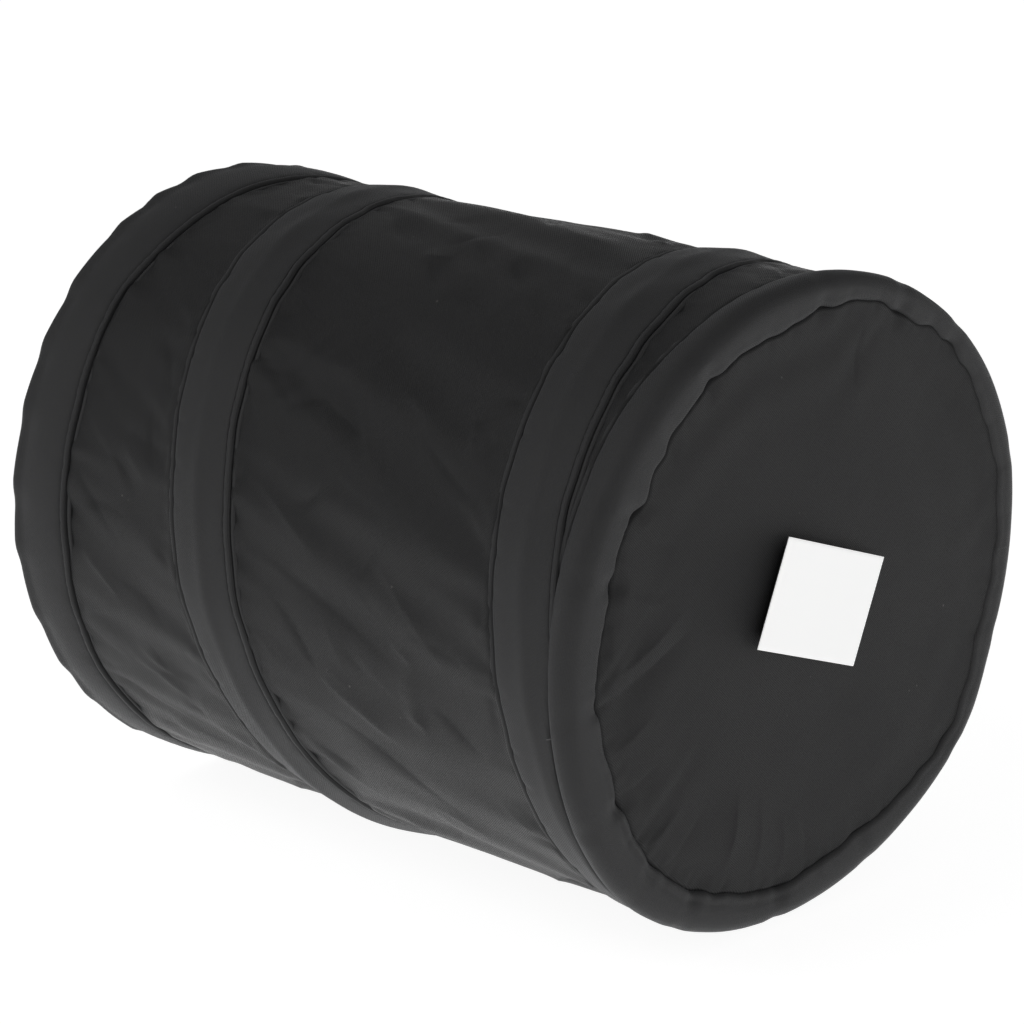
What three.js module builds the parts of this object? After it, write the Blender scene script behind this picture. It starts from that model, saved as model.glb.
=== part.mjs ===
// A small pop-up play tunnel of black woven cloth, lying on its side. Its axis runs along X: the open
// mouth is at -X, and the end closed by a round cloth panel is at +X. Two spring-wire hoops hold the ends
// round, and a helical spring wire in a sewn cloth channel holds the wall between them apart.
// Units are millimetres, +Z is up, and the origin lies under the middle of the tunnel on its rest plane.
import * as THREE from "three";
import { mergeVertices } from "three/addons/utils/BufferGeometryUtils.js";

// Driving dimensions. Lengths along the tunnel are counted from the face of the open mouth.
const OUTER_RADIUS = 80; // over the cloth channels
const TUBE_LENGTH = 193; // mouth face to the face of the closed end
const SIDES = 36; // flats round every ring, one of them level at the bottom
const CLOTH = 0.6; // thickness of the woven cloth
const GAP = 0.3; // clearance between neighbouring pieces

const WALL_RADIUS = 76.3; // outside of the wall between the channels
const WALL_SECTIONS = 6;
const WALL_INSET = 4.4; // from each end face to the end of the wall cloth

const MOUTH_BAND_WIDTH = 18.5; // channel on the outside at the open mouth
const MOUTH_HEM_DEPTH = 9; // the same cloth turned back inside
const MOUTH_HEM_RADIUS = 75.3; // outside of the turned-back hem
const PANEL_BAND_WIDTH = 10; // channel on the outside at the closed end
const PANEL_BAND_RADIUS = 71; // inner edge of that channel on the end face
const PANEL_RADIUS = 75.4; // the round panel reaches under the channel
const EDGE_BEVEL = 1; // softened corner of the end channels

const HOOP_WIRE_RADIUS = 1;
const FERRULE_RADIUS = 1.6;
const FERRULE_LENGTH = 11;
const HOOP_RADIUS = 77.5;

const HELIX_WIRE_RADIUS = 0.7;
const HELIX_RADIUS = 78;
const HELIX_START = -60; // degrees about +X from +Y: the wire starts low on the far side
const HELIX_END = 590;
const HELIX_MIDDLE = 100.5; // where half of its turns are made
const HELIX_REACH = 87; // half of the wire's run along the tunnel
const HELIX_EASE = 0.2; // how much its pitch tightens towards the hoops
const HELIX_BAND_WIDTH = 20.4;
const HELIX_BAND_LIFT = 2.2; // rise of the channel over its wire
const HELIX_BAND_PROFILE = [0, 0.72, 1, 0.72, 0]; // that rise as a share, from edge to edge
const HELIX_WIRE_STEPS = 110;
const END_CAP_RADIUS = 1.15;
const END_CAP_LENGTH = 7;
const END_CAP_CHORD = 4; // degrees of the wire that a straight cap spans

const SEAM_TAPE = { width: 10, thickness: 0.5, angle: 20 };

const PAD = { width: 38, height: 27.6, tilt: -19.6, offset: 4.5, inset: 0.4 };
const PAD_FABRIC = 0.9; // loop patch and hook patch, each
const LINER = 0.3;

const PANEL_BACK = TUBE_LENGTH - 2 * CLOTH - GAP;
const PAD_BASE = PANEL_BACK + CLOTH + GAP;
const PAD_LAYER = PAD_FABRIC + GAP;
const TOTAL_LENGTH = PAD_BASE + 2 * PAD_LAYER + LINER;

const cloth = new THREE.MeshStandardMaterial({ color: 0x26262a, roughness: 0.72, metalness: 0 });
const bandCloth = new THREE.MeshStandardMaterial({ color: 0x303034, roughness: 0.68, metalness: 0 });
const springSteel = new THREE.MeshStandardMaterial({ color: 0x8b8d90, roughness: 0.35, metalness: 1 });
const crimpMetal = new THREE.MeshStandardMaterial({ color: 0xa7a9ab, roughness: 0.45, metalness: 1 });
const capPlastic = new THREE.MeshStandardMaterial({ color: 0x1a1a1c, roughness: 0.5, metalness: 0 });
const napFabric = new THREE.MeshStandardMaterial({ color: 0x1c1c1e, roughness: 0.95, metalness: 0 });
const linerPaper = new THREE.MeshStandardMaterial({ color: 0xf4f4f2, roughness: 0.4, metalness: 0 });

const radians = THREE.MathUtils.degToRad;
const HALF_SIDE = Math.PI / SIDES;

// The corner radius of a ring whose flats touch a circle of the given radius.
function cornerRadius(radius) {
  return radius / Math.cos(HALF_SIDE);
}

// Turns a closed outline of [radius, height] pairs about the Y axis, whichever way round it is listed.
function turned(outline, sides, start) {
  const points = outline.map(([radius, height]) => new THREE.Vector2(radius, height));
  if (THREE.ShapeUtils.isClockWise(points)) points.reverse();
  return new THREE.LatheGeometry([...points, points[0]], sides, start);
}

// A ring about the X axis from a closed outline of [along, radius] pairs.
function ring(outline) {
  const corners = outline.map(([along, radius]) => [cornerRadius(radius), along]);
  return turned(corners, SIDES, HALF_SIDE).rotateZ(-Math.PI / 2);
}

// A disc about the X axis.
function disc(radius, from, to) {
  const corner = cornerRadius(radius);
  const points = [
    new THREE.Vector2(0, from),
    new THREE.Vector2(corner, from),
    new THREE.Vector2(corner, to),
    new THREE.Vector2(0, to),
  ];
  return new THREE.LatheGeometry(points, SIDES, HALF_SIDE).rotateZ(-Math.PI / 2);
}

// The cloth channel of the open mouth: outside leg, rounded end, and a hem turned back inside.
function mouthBand() {
  const outer = OUTER_RADIUS;
  const inner = MOUTH_HEM_RADIUS - CLOTH;
  const legInside = outer - CLOTH;
  return ring([
    [MOUTH_BAND_WIDTH, legInside],
    [MOUTH_BAND_WIDTH, outer],
    [EDGE_BEVEL, outer],
    [0, outer - EDGE_BEVEL],
    [0, inner + EDGE_BEVEL],
    [EDGE_BEVEL, inner],
    [MOUTH_HEM_DEPTH, inner],
    [MOUTH_HEM_DEPTH, MOUTH_HEM_RADIUS],
    [EDGE_BEVEL, MOUTH_HEM_RADIUS],
    [CLOTH, MOUTH_HEM_RADIUS + EDGE_BEVEL - CLOTH],
    [CLOTH, legInside - EDGE_BEVEL + CLOTH],
    [EDGE_BEVEL, legInside],
  ]);
}

// The cloth channel of the closed end: outside leg, rounded corner, and a leg sewn down on the panel.
function panelBand() {
  const outer = OUTER_RADIUS;
  const face = TUBE_LENGTH;
  const legInside = outer - CLOTH;
  return ring([
    [face - PANEL_BAND_WIDTH, outer],
    [face - PANEL_BAND_WIDTH, legInside],
    [face - EDGE_BEVEL, legInside],
    [face - CLOTH, legInside - EDGE_BEVEL + CLOTH],
    [face - CLOTH, PANEL_BAND_RADIUS],
    [face, PANEL_BAND_RADIUS],
    [face, outer - EDGE_BEVEL],
    [face - EDGE_BEVEL, outer],
  ]);
}

function wallSection(index) {
  const pitch = (TUBE_LENGTH - 2 * WALL_INSET) / WALL_SECTIONS;
  const from = WALL_INSET + index * pitch + GAP / 2;
  const to = from + pitch - GAP;
  return ring([
    [from, WALL_RADIUS - CLOTH],
    [to, WALL_RADIUS - CLOTH],
    [to, WALL_RADIUS],
    [from, WALL_RADIUS],
  ]);
}

function hoop(along) {
  return new THREE.TorusGeometry(cornerRadius(HOOP_RADIUS), HOOP_WIRE_RADIUS, 8, SIDES)
    .rotateZ(HALF_SIDE)
    .rotateY(Math.PI / 2)
    .translate(along, 0, 0);
}

// A crimped sleeve over the butted ends of a hoop, on the middle of one of its straight sides.
function ferrule(along, angle) {
  const half = FERRULE_LENGTH / 2;
  const bore = HOOP_WIRE_RADIUS + GAP / 2;
  const outline = [
    [bore, -half],
    [bore, half],
    [FERRULE_RADIUS, half],
    [FERRULE_RADIUS, -half],
  ];
  return turned(outline, 12, 0)
    .translate(0, 0, HOOP_RADIUS)
    .rotateX(radians(angle))
    .translate(along, 0, 0);
}

// Distance from the mouth face at which the helical wire passes an angle, in degrees about +X.
function helixAlong(angle) {
  const middle = (HELIX_START + HELIX_END) / 2;
  const share = (angle - middle) / (HELIX_END - middle);
  const eased = (1 + HELIX_EASE) * share - HELIX_EASE * share ** 3;
  return HELIX_MIDDLE + HELIX_REACH * eased;
}

function helixPoint(angle, radius) {
  const turn = radians(angle);
  return new THREE.Vector3(helixAlong(angle), radius * Math.cos(turn), radius * Math.sin(turn));
}

class HelixCurve extends THREE.Curve {
  getPoint(share, target = new THREE.Vector3()) {
    return target.copy(helixPoint(HELIX_START + share * (HELIX_END - HELIX_START), HELIX_RADIUS));
  }
}

function helixWire() {
  const section = new THREE.Shape().absarc(0, 0, HELIX_WIRE_RADIUS, 0, 2 * Math.PI);
  return new THREE.ExtrudeGeometry(section, {
    extrudePath: new HelixCurve(),
    steps: HELIX_WIRE_STEPS,
    curveSegments: 3,
    bevelEnabled: false,
  });
}

// A soft cap over one end of the helical wire, open towards the wire.
function endCap(angle, inwards) {
  const bore = HELIX_WIRE_RADIUS + GAP / 2;
  const depth = END_CAP_LENGTH - 1;
  const outline = [
    [0, -1],
    [END_CAP_RADIUS, -1],
    [END_CAP_RADIUS, depth],
    [bore, depth],
    [bore, 0],
    [0, 0],
  ];
  const points = outline.map(([radius, height]) => new THREE.Vector2(radius, height));
  const tip = helixPoint(angle, HELIX_RADIUS);
  const along = helixPoint(angle + inwards * END_CAP_CHORD, HELIX_RADIUS).sub(tip).normalize();
  const cap = new THREE.LatheGeometry(points, 10);
  cap.translate(0, -GAP / 2, 0);
  cap.applyQuaternion(new THREE.Quaternion().setFromUnitVectors(new THREE.Vector3(0, 1, 0), along));
  return cap.translate(tip.x, tip.y, tip.z);
}

// Joins rings of points, each listed the same way round, into one closed solid.
function loft(rings) {
  const count = rings[0].length;
  const vertices = rings.flat();
  const faces = [];
  for (let i = 0; i + 1 < rings.length; i++) {
    for (let j = 0; j < count; j++) {
      const a = i * count + j;
      const b = i * count + ((j + 1) % count);
      faces.push(a, b, b + count, a, b + count, a + count);
    }
  }
  const last = (rings.length - 1) * count;
  for (let j = 0; j + 1 < count / 2; j++) {
    const k = count - 1 - j;
    faces.push(j, k, j + 1, k, k - 1, j + 1);
    faces.push(last + j, last + j + 1, last + k, last + k, last + j + 1, last + k - 1);
  }
  return new THREE.BufferGeometry().setFromPoints(vertices).setIndex(faces);
}

// The helical channel is a strip of cloth over the wire, its edges sewn down to the wall. It runs out
// where the wire passes under the channels of the two ends.
function helixBand() {
  const from = MOUTH_BAND_WIDTH + GAP;
  const to = TUBE_LENGTH - PANEL_BAND_WIDTH - GAP;
  const edge = WALL_RADIUS + 2 * GAP;
  const clearOfWire = 2 * HELIX_WIRE_RADIUS;
  const step = 360 / SIDES;
  const rings = [];
  for (let angle = HELIX_START - step / 2; angle <= HELIX_END; angle += step) {
    const middle = helixAlong(angle);
    const low = Math.max(middle - HELIX_BAND_WIDTH / 2, from);
    const high = Math.min(middle + HELIX_BAND_WIDTH / 2, to);
    if (low > middle - clearOfWire || high < middle + clearOfWire) continue;
    const places = [low, (low + middle) / 2, middle, (middle + high) / 2, high];
    const layer = (rise) =>
      places.map((along, i) => {
        const radius = cornerRadius(edge + rise + HELIX_BAND_LIFT * HELIX_BAND_PROFILE[i]);
        const turn = radians(angle);
        return new THREE.Vector3(along, radius * Math.cos(turn), radius * Math.sin(turn));
      });
    rings.push([...layer(0), ...layer(CLOTH).reverse()]);
  }
  return loft(rings);
}

// The tape that binds the one lengthwise seam of the wall, on the inside of one of its flats.
function seamTape() {
  const from = MOUTH_HEM_DEPTH + 1;
  const to = TUBE_LENGTH - WALL_INSET;
  const radius = WALL_RADIUS - CLOTH - GAP - SEAM_TAPE.thickness / 2;
  return new THREE.BoxGeometry(to - from, SEAM_TAPE.width, SEAM_TAPE.thickness)
    .translate((from + to) / 2, 0, radius)
    .rotateX(radians(SEAM_TAPE.angle - 90));
}

// One layer of the square fastening pad, lying on the panel.
function padLayer(from, thickness, margin) {
  return new THREE.BoxGeometry(thickness, PAD.width - 2 * margin, PAD.height - 2 * margin)
    .rotateX(radians(PAD.tilt))
    .translate(from + thickness / 2, PAD.offset, 0);
}

const tunnel = new THREE.Group();
const axis = new THREE.Group();
axis.position.set(-TOTAL_LENGTH / 2, 0, OUTER_RADIUS);
tunnel.add(axis);

function add(name, geometry, material) {
  geometry.deleteAttribute("normal");
  geometry.deleteAttribute("uv");
  const merged = mergeVertices(geometry);
  merged.computeVertexNormals();
  const mesh = new THREE.Mesh(merged, material);
  mesh.name = name;
  axis.add(mesh);
}

const mouthHoopAt = CLOTH + GAP + FERRULE_RADIUS;
const panelHoopAt = TUBE_LENGTH - CLOTH - GAP - FERRULE_RADIUS;

add("mouth_rim_band", mouthBand(), bandCloth);
add("mouth_hoop_wire", hoop(mouthHoopAt), springSteel);
add("mouth_hoop_ferrule", ferrule(mouthHoopAt, 100), crimpMetal);

for (let i = 0; i < WALL_SECTIONS; i++) {
  add("wall_section_" + (i + 1), wallSection(i), cloth);
}
add("side_seam_tape", seamTape(), cloth);

add("helix_spring_wire", helixWire(), springSteel);
add("helix_wire_band", helixBand(), bandCloth);
add("helix_mouth_end_cap", endCap(HELIX_START, 1), capPlastic);
add("helix_panel_end_cap", endCap(HELIX_END, -1), capPlastic);

add("panel_rim_band", panelBand(), bandCloth);
add("panel_hoop_wire", hoop(panelHoopAt), springSteel);
add("panel_hoop_ferrule", ferrule(panelHoopAt, -80), crimpMetal);
add("end_panel", disc(PANEL_RADIUS, PANEL_BACK, PANEL_BACK + CLOTH), cloth);
add("pad_loop_patch", padLayer(PAD_BASE, PAD_FABRIC, PAD.inset), napFabric);
add("pad_hook_patch", padLayer(PAD_BASE + PAD_LAYER, PAD_FABRIC, PAD.inset), napFabric);
add("pad_release_liner", padLayer(PAD_BASE + 2 * PAD_LAYER, LINER, 0), linerPaper);

export default tunnel;
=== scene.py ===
"""A small pop-up tunnel of black woven cloth: sewn cloth, wires and pad round the CAD frame."""

import math
import random

import bpy
import numpy as np
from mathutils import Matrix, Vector


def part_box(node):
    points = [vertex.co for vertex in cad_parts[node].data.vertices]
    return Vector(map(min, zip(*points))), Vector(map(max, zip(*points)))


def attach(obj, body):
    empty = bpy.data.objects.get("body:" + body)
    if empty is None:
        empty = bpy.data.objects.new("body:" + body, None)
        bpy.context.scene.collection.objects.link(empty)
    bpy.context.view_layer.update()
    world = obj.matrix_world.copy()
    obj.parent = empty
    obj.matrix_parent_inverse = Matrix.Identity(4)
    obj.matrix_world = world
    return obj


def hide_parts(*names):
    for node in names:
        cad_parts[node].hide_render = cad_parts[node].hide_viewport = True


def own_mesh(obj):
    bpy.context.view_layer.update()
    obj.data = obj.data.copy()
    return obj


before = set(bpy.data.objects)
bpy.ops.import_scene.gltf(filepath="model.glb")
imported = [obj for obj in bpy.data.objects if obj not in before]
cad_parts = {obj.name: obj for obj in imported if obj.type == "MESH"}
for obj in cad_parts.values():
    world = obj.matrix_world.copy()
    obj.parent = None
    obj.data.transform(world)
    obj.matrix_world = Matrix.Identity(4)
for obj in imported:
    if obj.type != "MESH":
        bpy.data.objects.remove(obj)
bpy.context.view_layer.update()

MM = 0.001

# ----------------------------------------
# Driving sizes. "along" is millimetres from the face of the open mouth, "turn" is degrees about +X from
# +Y, and "radius" is millimetres from the tunnel's axis.

MOUTH_LOW, MOUTH_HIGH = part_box("mouth_rim_band")
PANEL_LOW, PANEL_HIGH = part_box("panel_rim_band")

LENGTH = (PANEL_HIGH.x - MOUTH_LOW.x) / MM
RADIUS = (MOUTH_HIGH.z - MOUTH_LOW.z) / 2 / MM
AXIS_HEIGHT = (MOUTH_HIGH.z + MOUTH_LOW.z) / 2 / MM
MOUTH_BAND = (MOUTH_HIGH.x - MOUTH_LOW.x) / MM
PANEL_BAND = (PANEL_HIGH.x - PANEL_LOW.x) / MM

WALL_RADIUS = 78.0
WALL_FROM, WALL_TO = 5.0, LENGTH - 4.0  # the wall's two ends, inside the rims
CLOTH_THICKNESS = 0.45

HELIX_START, HELIX_END = -60.0, 590.0
HELIX_MIDDLE = LENGTH - 92.5  # along, of its middle turn
HELIX_REACH = 87.0  # from there to its ends
HELIX_EASE = 0.2  # how much steeper it climbs in the middle than at its ends
HELIX_HALF_WIDTH = 10.2
SKIRT = 11.2  # half the width of the strip with the cloth it pulls in beside it
HELIX_WIRE_RADIUS = 0.7
HELIX_WIRE_AT = WALL_RADIUS + 0.05  # radius of its turns
HOOP_WIRE_RADIUS = 1.0
HOOP_WIRE_AT = 75.3  # radius of a hoop
HOOP_IN = 2.6  # of a hoop from the tunnel's end
FERRULE_RADIUS, FERRULE_LENGTH = 1.3, 11.0
END_CAP_RADIUS, END_CAP_LENGTH = 1.15, 7.0

MOUTH_LEAN = (0.028, -0.053)  # how the end rings lean along the axis, per mm across and per mm up
PANEL_LEAN = (0.047, 0.035)

# The two hoops are bent a little out of round: the outside radius at each turn.
PANEL_SHAPE = [
    (5, 77.4), (16, 78.5), (36, 78.9), (60, 78.8), (79, 79.3), (105, 79.8), (150, 79.7), (200, 80.1),
    (233, 80.5), (252, 79.1), (265, 77.9), (276, 77.2), (288, 77.0), (304, 77.7), (321, 79.2),
    (328, 78.9), (337, 77.1), (344, 76.4), (356, 76.9),
]
MOUTH_SHAPE = [
    (5, 79.5), (60, 79.8), (90, 80.4), (108, 80.8), (125, 80.5), (145, 79.9), (165, 79.5), (185, 80.3),
    (200, 79.9), (225, 79.8), (240, 79.0), (256, 79.2), (275, 79.2), (300, 79.6), (325, 80.0),
    (345, 79.3),
]
HOOP_RADIUS = 79.6


def around(turn, points):
    """Straight lines between (turn, value) points, all the way round, with their corners just eased."""
    turns, values = zip(*points)
    return sum(np.interp(turn + step, turns, values, period=360) for step in (-1.2, 0.0, 1.2)) / 3


def out_of_round(along, turn):
    share = np.clip(along / LENGTH, 0, 1)
    return (around(turn, MOUTH_SHAPE) * (1 - share) + around(turn, PANEL_SHAPE) * share) / HOOP_RADIUS


# How far the two rims' edges wander along the tunnel: (turn, mm).
MOUTH_EDGE = [
    (60, 1.8), (105, 2.3), (118, 2.0), (132, 0.3), (143, 0.1), (157, 1.9), (166, 1.2), (184, 1.9),
    (205, -0.2), (230, 0.5), (300, 1.0),
]
PANEL_EDGE = [
    (60, 1.0), (90, 1.1), (117, 1.3), (131, 0.4), (141, 0.7), (150, 1.7), (165, 2.5), (175, 3.2),
    (192, 4.6), (200, 4.4), (210, 3.0), (222, 3.5), (245, 2.0), (300, 1.0),
]


def mouth_edge(turn):
    return around(turn, MOUTH_EDGE)


def panel_edge(turn):
    return around(turn, PANEL_EDGE)


# How far the sewn wire wanders from its even pitch: (turn, mm along).
HELIX_WANDER = [
    (-60, 0), (60, 2.0), (100, 2.4), (125, 0.2), (160, 0.5), (180, -0.4), (220, -2.1), (300, -0.5),
    (460, 0.6), (520, 0.8), (545, 2.2), (565, 1.5), (590, 0),
]


def helix_along(turn):
    middle = (HELIX_START + HELIX_END) / 2
    share = (turn - middle) / (HELIX_END - middle)
    turns, wander = zip(*HELIX_WANDER)
    eased = sum(np.interp(turn + step, turns, wander) for step in (-9, -3, 3, 9)) / 4
    return HELIX_MIDDLE + HELIX_REACH * ((1 + HELIX_EASE) * share - HELIX_EASE * share**3) + eased


def place(along, turn, radius):
    """Points in metres in the row frame, out of round and leaning like the two end rings."""
    along, turn, radius = np.broadcast_arrays(*(np.asarray(v, float) for v in (along, turn, radius)))
    radius = radius * out_of_round(along, turn)
    y = radius * np.cos(np.radians(turn))
    z = radius * np.sin(np.radians(turn))
    return lean(np.stack([along, y, z], -1))


def lean(points):
    """From tube coordinates (along, across, up from the axis) in mm to the row frame in metres."""
    share = np.clip(points[..., 0] / LENGTH, 0, 1)
    across = MOUTH_LEAN[0] + (PANEL_LEAN[0] - MOUTH_LEAN[0]) * share
    up = MOUTH_LEAN[1] + (PANEL_LEAN[1] - MOUTH_LEAN[1]) * share
    x = points[..., 0] + points[..., 1] * across + points[..., 2] * up
    made = np.stack([x, points[..., 1], points[..., 2] + AXIS_HEIGHT], -1) * MM
    made[..., 0] += MOUTH_LOW.x
    return made


def bump(x):
    """1 at 0, falling smoothly to 0 at -1 and 1."""
    x = np.clip(np.abs(x), 0, 1)
    return (1 - x * x) ** 2


def ease(x):
    x = np.clip(x, 0, 1)
    return x * x * (3 - 2 * x)


def turn_gap(turn, other):
    """Signed difference between two angles in degrees, from -180 to 180."""
    return (turn - other + 180) % 360 - 180


def waver(turn, seed, slowest, fastest):
    """A smooth irregular wave round the tunnel, about -1 to 1, that joins up with itself."""
    drawn = random.Random(seed)
    made = 0.0
    for beat in range(slowest, fastest + 1):
        size, shift = drawn.uniform(-1, 1), drawn.uniform(0, 2 * math.pi)
        made = made + size * np.sin(np.radians(turn) * beat + shift)
    return made / math.sqrt((fastest - slowest + 1) / 3)


# ----------------------------------------
# Mesh building


def mesh_object(name, points, faces, uvs=None):
    mesh = bpy.data.meshes.new(name)
    mesh.from_pydata(np.asarray(points).reshape(-1, 3).tolist(), [], faces)
    if uvs is not None:
        layer = mesh.uv_layers.new(name="cloth")
        loops = np.zeros(len(mesh.loops), np.int64)
        mesh.loops.foreach_get("vertex_index", loops)
        layer.data.foreach_set("uv", np.asarray(uvs, np.float32).reshape(-1, 2)[loops].ravel())
    mesh.update()
    mesh.polygons.foreach_set("use_smooth", [True] * len(mesh.polygons))
    return linked(name, mesh)


def linked(name, data):
    made = bpy.data.objects.new(name, data)
    bpy.context.scene.collection.objects.link(made)
    return made


def grid_faces(rows, columns, wrap):
    """Quads of a grid of points[row][column]; wrap joins the last row to the first."""
    i = np.arange(rows if wrap else rows - 1)[:, None]
    j = np.arange(columns - 1)[None, :]
    a = i * columns + j
    b = ((i + 1) % rows) * columns + j
    return np.stack([a, b, b + 1, a + 1], -1).reshape(-1, 4).tolist()


def cloth_sheet(name, points, uvs, outward, wrap=False, thickness=CLOTH_THICKNESS):
    """A sheet of cloth from a grid of points, thickened to its back."""
    rows, columns = points.shape[:2]
    faces = grid_faces(rows, columns, wrap)
    made = mesh_object(name, points, faces, uvs)
    solid = made.modifiers.new("thickness", "SOLIDIFY")
    solid.thickness = thickness * MM
    solid.offset = -outward
    return made


def tube_rings(path, ahead, thick, sides):
    """Rings of points round a path that runs `ahead` at each point, `thick` metres in radius there."""
    side = np.cross(ahead, [0.31, 0.17, 0.93])
    side /= np.linalg.norm(side, axis=1, keepdims=True)
    up = np.cross(ahead, side)
    turn = np.linspace(0, 2 * math.pi, sides, endpoint=False)
    ring = np.cos(turn)[None, :, None] * side[:, None] + np.sin(turn)[None, :, None] * up[:, None]
    return (path[:, None] + ring * thick[:, None, None]).reshape(-1, 3).tolist()


def tube_faces(start, count, sides, closed=False):
    """Faces between `count` rings, the first point of which is number `start`, and over the two ends."""
    faces = []
    for i in range(count if closed else count - 1):
        here = start + i * sides
        there = start + (i + 1) % count * sides
        for j in range(sides):
            k = (j + 1) % sides
            faces.append([here + j, here + k, there + k, there + j])
    if not closed:
        faces.append([start + j for j in range(sides)][::-1])
        faces.append([start + (count - 1) * sides + j for j in range(sides)])
    return faces


def tube_mesh(name, path, radius, sides=8, closed=False):
    """A round tube along points in metres, its radius in mm, with its ends closed."""
    ahead = np.roll(path, -1, 0) - np.roll(path, 1, 0)
    if not closed:
        ahead[0], ahead[-1] = path[1] - path[0], path[-1] - path[-2]
    ahead /= np.linalg.norm(ahead, axis=1, keepdims=True)
    thick = np.full(len(path), radius * MM)
    points = tube_rings(path, ahead, thick, sides)
    return mesh_object(name, points, tube_faces(0, len(path), sides, closed))


def joined_tubes(name, paths, radius, sides=6):
    """Many short round threads in one piece; the first and last point of each are drawn in to a tip."""
    points, faces = [], []
    for path in paths:
        ahead = np.gradient(path, axis=0)
        ahead /= np.linalg.norm(ahead, axis=1, keepdims=True) + 1e-12
        thick = np.full(len(path), radius * MM)
        thick[0] = thick[-1] = radius * MM * 0.35
        faces += tube_faces(len(points), len(path), sides)
        points += tube_rings(path, ahead, thick, sides)
    return mesh_object(name, points, faces)


def flat_places(across, down):
    """Coordinates on the flat cloth, in metres, from two places in mm."""
    return np.stack(np.broadcast_arrays(across, down), -1) * MM


# ----------------------------------------
# Materials


def object_places(tree):
    return tree.nodes.new("ShaderNodeTexCoord").outputs["Object"]


def math_node(tree, operation, a, b=None):
    made = tree.nodes.new("ShaderNodeMath")
    made.operation = operation
    for i, value in enumerate((a, b)):
        if hasattr(value, "is_output"):
            tree.links.new(value, made.inputs[i])
        elif value is not None:
            made.inputs[i].default_value = value
    return made.outputs[0]


def times(tree, a, b):
    return math_node(tree, "MULTIPLY", a, b)


def noise_node(tree, vector, scale, detail, roughness=0.5):
    made = tree.nodes.new("ShaderNodeTexNoise")
    made.inputs["Scale"].default_value = scale
    made.inputs["Detail"].default_value = detail
    made.inputs["Roughness"].default_value = roughness
    tree.links.new(vector, made.inputs["Vector"])
    return made.outputs["Fac"]


def mixed(tree, share, dark, light):
    """A colour between dark, which may be a socket, and light."""
    made = tree.nodes.new("ShaderNodeMix")
    made.data_type = "RGBA"
    tree.links.new(share, made.inputs[0])
    if hasattr(dark, "is_output"):
        tree.links.new(dark, made.inputs[6])
    else:
        made.inputs[6].default_value = (*dark, 1)
    made.inputs[7].default_value = (*light, 1)
    return made.outputs[2]


def relieved(tree, shader, height, strength, depth):
    """Gives the surface a fine relief, its depth in mm."""
    made = tree.nodes.new("ShaderNodeBump")
    made.inputs["Strength"].default_value = strength
    made.inputs["Distance"].default_value = depth * MM
    tree.links.new(height, made.inputs["Height"])
    tree.links.new(made.outputs[0], shader.inputs["Normal"])


def tune(shader, **values):
    """Sets inputs of the shader by name, with _ for each space."""
    for name, value in values.items():
        shader.inputs[name.replace("_", " ")].default_value = value


def ramp(tree, value, low, high, dark, light):
    made = tree.nodes.new("ShaderNodeMapRange")
    tree.links.new(value, made.inputs[0])
    for i, v in zip((1, 2, 3, 4), (low, high, dark, light)):
        made.inputs[i].default_value = v
    return made.outputs[0]


def new_material(name):
    made = bpy.data.materials.new(name)
    made.use_nodes = True
    made.node_tree.nodes.clear()
    tree = made.node_tree
    shader = tree.nodes.new("ShaderNodeBsdfPrincipled")
    out = tree.nodes.new("ShaderNodeOutputMaterial")
    tree.links.new(shader.outputs[0], out.inputs["Surface"])
    return made, tree, shader


THREAD_PITCH = 0.31  # mm from thread to thread of the cloth
DUST = (0.16, 0.155, 0.15)


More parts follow.
